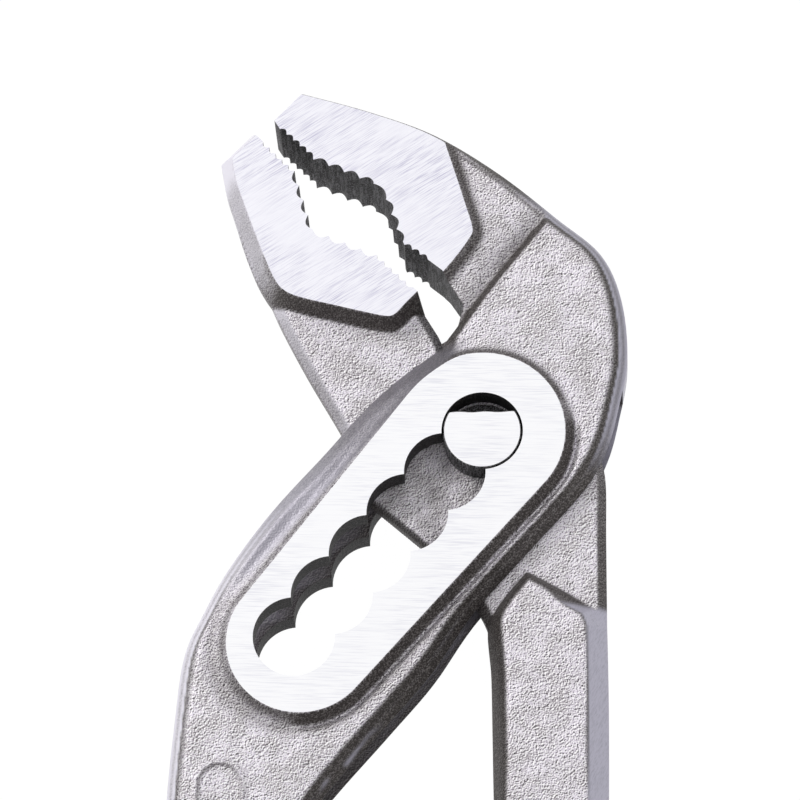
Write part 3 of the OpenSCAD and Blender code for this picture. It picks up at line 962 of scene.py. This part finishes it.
outer = outerJawHandle()
inner = innerJawHandle()
pinPiece = pivotPin()
outerGrip = dippedGrip("outerGrip", handles["outerX"], -1)
innerGrip = dippedGrip("innerGrip", handles["innerX"], 1)
allPieces = (outer, inner, pinPiece, outerGrip, innerGrip)
print("pieces ready:", {o.name: len(o.data.polygons) for o in allPieces})


# Finish and painted shade over each forging: d is the distance in from its outline, n the normals, leaning
# how far they lean

def besidePad(x, y, d):
    # the flank between the pad and the throat, where the forging die has left it smooth
    strip = ease(y * math.cos(slotTurn) - x * math.sin(slotTurn), 9, 10) * ease(y, -25, -15)
    return strip * (1 - ease(y, 11, 13)) * (1 - ease(d, 3.6, 4.4))


def outerTrim(x, y, d, n, leaning):
    # a band along the outline, not on the neck or beside the throat, nor where it faces down, which is left
    # dark as painted shade; a dark line runs along its middle
    line = 1 - 0.6 * hump(d - 0.5, 0.25)
    band = leaning * (1 - ease(d, 0.95, 1.1)) * line * ease(n[:, 1], -0.45, -0.15)
    band = band * (1 - ease(y, 29, 34)) * (1 - ease(y, -12, -3) * ease(-x, -2, 0))
    # a broken line of flash on the handle's right flank
    flash = hump(d - 0.7 - 0.16 * unevenness(x, y, 31), 0.17)
    flash = leaning * flash * ease(unevenness(x, y, 33), -0.9, 0.5) * ease(-y, 36, 41)
    strip = besidePad(x, y, d) * (0.55 - 0.25 * ease(y, -9, 2))
    return np.maximum.reduce([band, 0.95 * flash * ease(n[:, 0], 0.1, 0.4), strip])


def outerShadeAndScale(x, y, d):
    # painted shade next to the neck's step: wide in the recess, narrow on the box's side
    step = nearLine(x, y, neckStep)
    inRecess = 0.8 * hump(step - 0.4, 0.7) + 0.75 * hump(step - 0.6, 2.4)
    near = np.where(inside(x, y, neckRecess) > 0, inRecess, 0.5 * hump(step, 0.35))
    near = near * (0.75 + 0.14 * unevenness(x, y, 21, 0.4))
    # painted shade in lines along the crease of the flank and below it
    lines = 0.8 * hump(d - 1.25, 0.27) + 0.5 * hump(d - 0.5, 0.27)
    # painted shade round the feet of the pad and the jaw's face, and on the flank between the pad and the
    # throat
    pad, jaw = inside(x, y, padOutline()), inside(x, y, upperFace)
    feet = 0.6 * hump(pad + 0.55, 0.5) + 0.4 * ease(-y, 14, 22) * hump(pad + 1.9, 0.6)
    feet = np.maximum(feet, 0.95 * hump(jaw + 0.75, 0.75) * ease(x, -7, -4))
    strip = besidePad(x, y, d) * (0.72 + 0.15 * ease(y, -9, 2))
    shaded = besidePad(x, y, d) * ease(y, -20, -4)
    # the painted shade anywhere, the dark body on every leaning surface above the pin, and where the painted
    # light fades towards the throat
    return np.clip(np.maximum.reduce([near, lines, feet, strip]), 0, 1), ease(y, 2, 5), shaded


def innerTrim(x, y, d, n, leaning):
    # the handle's right slope and a band along the jaw's left side, wider towards its tip, which stops where
    # it faces down and leaves that dark as painted shade
    grip = inside(x, y, gripHandleOutline)
    right = (1 - ease(grip, 2.35, 2.6)) * ease(x, 8, 9) * ease(-y, 21.5, 22.5)
    wide = 1.1 * ease(y, 22, 26)
    left = (1 - ease(d, 1.0 + wide, 1.3 + wide)) * ease(n[:, 1], -0.45, -0.15) * ease(-x, 8, 12)
    return leaning * np.maximum(right, left)


def innerDirtAndShade(x, y, d):
    # mottled painted shade and dirt round the pin; painted shadow on the handle's left flank and shoulder,
    # which lie in the lee of the other handle
    dirtAndShade = np.clip(0.20 + 0.12 * unevenness(x, y, 41, 0.35), 0, 0.6)
    return dirtAndShade * (1 - ease(np.hypot(x + 5, y + 6), 8, 12)), ease(-y, 8, 12), 0


def crestsOf(obj):
    # painted light: the upper teeth are brighter at their points, away from the line through the bottoms of
    # their hollows
    x, y, normal = placesOf(obj)
    return ease(nearLine(x, y, toothLine), 0.15, 0.6) * ease(y, 23, 25)


markForging(outer, outerField, outerTrim, outerShadeAndScale)
keepMask(outer, "crest", crestsOf(outer))
markForging(inner, innerField, innerTrim, innerDirtAndShade)


# Which material each face gets, by the cutter or grinding that made it

made = {
    "flat": 0.9995, "wall": 0.05,    # upright share of the normal: more on a flat face, less on a wall
    "level": 0.002,                  # a ground face is this near its level
    "faceEdge": -0.4,                # a jaw's ground face may reach this far past its outline
    "cut": 0.05,                     # a cut wall is this near its cutter's outline
    "slotWall": 2,                   # the slot's walls lie at least this far inside the pad
    "tipTop": 42.4,                  # the upper jaw's end above this is ground
    "pinWall": 0.9, "pinEnd": 0.5,   # the pin's wall leans more than its ends, which are this deep
}


def jawSlots(obj, ground, cutter):
    # 1 on the jaw's ground face and 3 on the walls that the teeth's cutter leaves; also what outerSlots needs
    centre, normal = facesOf(obj)
    x, y, z = centre.T
    flat, wall = np.abs(normal[:, 2]) > made["flat"], np.abs(normal[:, 2]) < made["wall"]
    level = np.abs(z - middle)
    cut = wall & (np.abs(inside(x, y, cutter)) < made["cut"])
    chosen = np.zeros(len(x), int)
    onFace = np.abs(level - joint["body"] / 2) < made["level"]
    chosen[flat & onFace & (inside(x, y, ground) > made["faceEdge"])] = 1
    chosen[cut] = 3
    return chosen, x, y, level, flat, wall, cut


def outerSlots(obj):
    # 2 on the pad and 4 on the slot's walls, whose darker material is painted shade
    chosen, x, y, level, flat, wall, cut = jawSlots(obj, upperFace, upperCutter)
    chosen[flat & (np.abs(level - middle) < made["level"])] = 2
    chosen[cut & (y > made["tipTop"])] = 1
    chosen[wall & (inside(x, y, padOutline()) > made["slotWall"])] = 4
    return chosen


def pinSlots(obj):
    # 1 on the round wall and the flats, which are dark, painted shade deep in the joint; the ends are ground
    # with the pad
    centre, normal = facesOf(obj)
    level = np.abs(centre[:, 2] - middle)
    return (np.abs(normal[:, 2]) < made["pinWall"]) | (level < middle - made["pinEnd"])


dress(outer, [skin, jawGround, padGround, teethDark, slotDark], outerSlots(outer))
dress(inner, [skin, jawGround, padGround, teethDark], jawSlots(inner, lowerFace, lowerCutter)[0])
dress(pinPiece, [padGround, teethDark], pinSlots(pinPiece))
for piece in (outerGrip, innerGrip):
    dress(piece, [plastic], np.zeros(len(piece.data.polygons)))
print("finishes ready")

rides = [
    (outer, "outer", "outer_jaw_handle", "forged_steel"),
    (inner, "inner", "inner_jaw_handle", "forged_steel"),
    (pinPiece, "inner", "pivot_pin", "ground_steel"),
    (outerGrip, "outer", "outer_grip", "grip_plastic"),
    (innerGrip, "inner", "inner_grip", "grip_plastic"),
]
for piece, body, node, slot in rides:
    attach(piece, body)
    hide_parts(node)


# Studio

camera = {
    "target": (-10.2, 4.35, 11.5), "distance": 850.0,
    "tiltX": 2.0, "tiltY": 20.0,    # how far the view leans from straight above
    "lens": 307.9, "sensor": 36.0,
}
lamps = [    # name, place, size, power, colour
    ("key", (-520, 400, 520), 260, 2.6, (1.0, 0.99, 0.97)),
    ("fill", (420, 160, 520), 420, 0.5, (0.96, 0.97, 1.0)),
]
lampTarget = (-0.01, 0, 0)    # in metres, as the floor's half width is
floor = {"half": 3.0, "colour": (0.8, 0.8, 0.8), "glow": 1.05, "share": 0.95}
worldLight = {"onObject": 0.32, "seen": 1.0}


def placeCamera():
    # the camera's own axes: away from the target, to the right and up
    tiltX, tiltY = math.radians(camera["tiltX"]), math.radians(camera["tiltY"])
    away = Vector((math.tan(tiltX), -math.tan(tiltY), 1)).normalized()
    right = Vector((0, 1, 0)).cross(away).normalized()
    up = away.cross(right)
    data = bpy.data.cameras.new("photoCamera")
    data.lens, data.sensor_width = camera["lens"], camera["sensor"]
    data.clip_start, data.clip_end = 0.01, 20
    obj = bpy.data.objects.new("photoCamera", data)
    place = (Vector(camera["target"]) + away * camera["distance"]) * toMetres
    obj.matrix_world = Matrix.Translation(place) @ Matrix((right, up, away)).transposed().to_4x4()
    bpy.context.scene.collection.objects.link(obj)
    bpy.context.scene.camera = obj


def placeLamp(name, place, size, power, colour):
    data = bpy.data.lights.new(name, "AREA")
    data.shape, data.size, data.energy, data.color = "DISK", size * toMetres, power, colour
    obj = bpy.data.objects.new(name, data)
    where = Vector(place) * toMetres
    obj.location = where
    obj.rotation_euler = (where - Vector(lampTarget)).to_track_quat("Z", "Y").to_euler()
    bpy.context.scene.collection.objects.link(obj)


def seenDirectly(tree):
    # 1 for rays from the camera, mirrored rays and rays through glass
    path = tree.nodes.new("ShaderNodeLightPath")
    seen = mathNode(tree, "MAXIMUM", path.outputs["Is Camera Ray"], path.outputs["Is Glossy Ray"])
    return mathNode(tree, "MAXIMUM", seen, path.outputs["Is Transmission Ray"])


def layFloor():
    # pale under the object's shadow, and mostly white where it is seen directly
    size = floor["half"]
    corners = np.array([(-size, -size, 0), (size, -size, 0), (size, size, 0), (-size, size, 0)])
    obj = meshFrom("floor", corners, [(0, 1, 2, 3)])
    material, tree, shader = newMaterial("paleFloor", 0.9, 0.0, floor["colour"])
    glow = tree.nodes.new("ShaderNodeEmission")
    glow.inputs["Color"].default_value = (1, 1, 1, 1)
    glow.inputs["Strength"].default_value = floor["glow"]
    mix = tree.nodes.new("ShaderNodeMixShader")
    tree.links.new(mathNode(tree, "MULTIPLY", seenDirectly(tree), floor["share"]), mix.inputs[0])
    tree.links.new(shader.outputs[0], mix.inputs[1])
    tree.links.new(glow.outputs[0], mix.inputs[2])
    tree.links.new(mix.outputs[0], tree.nodes["Material Output"].inputs["Surface"])
    obj.data.materials.append(material)


def lightWorld():
    # even light on the object, and white where the background is seen directly
    world = bpy.data.worlds.new("paleStudio")
    bpy.context.scene.world = world
    world.use_nodes = True
    tree = world.node_tree
    back = tree.nodes["Background"]
    back.inputs["Color"].default_value = (1, 1, 1, 1)
    strength = remap(tree, seenDirectly(tree), 0, 1, worldLight["onObject"], worldLight["seen"])
    tree.links.new(strength, back.inputs["Strength"])


placeCamera()
for lamp in lamps:
    placeLamp(*lamp)
layFloor()
lightWorld()
bpy.context.scene.view_settings.view_transform = "Standard"
print("studio ready")
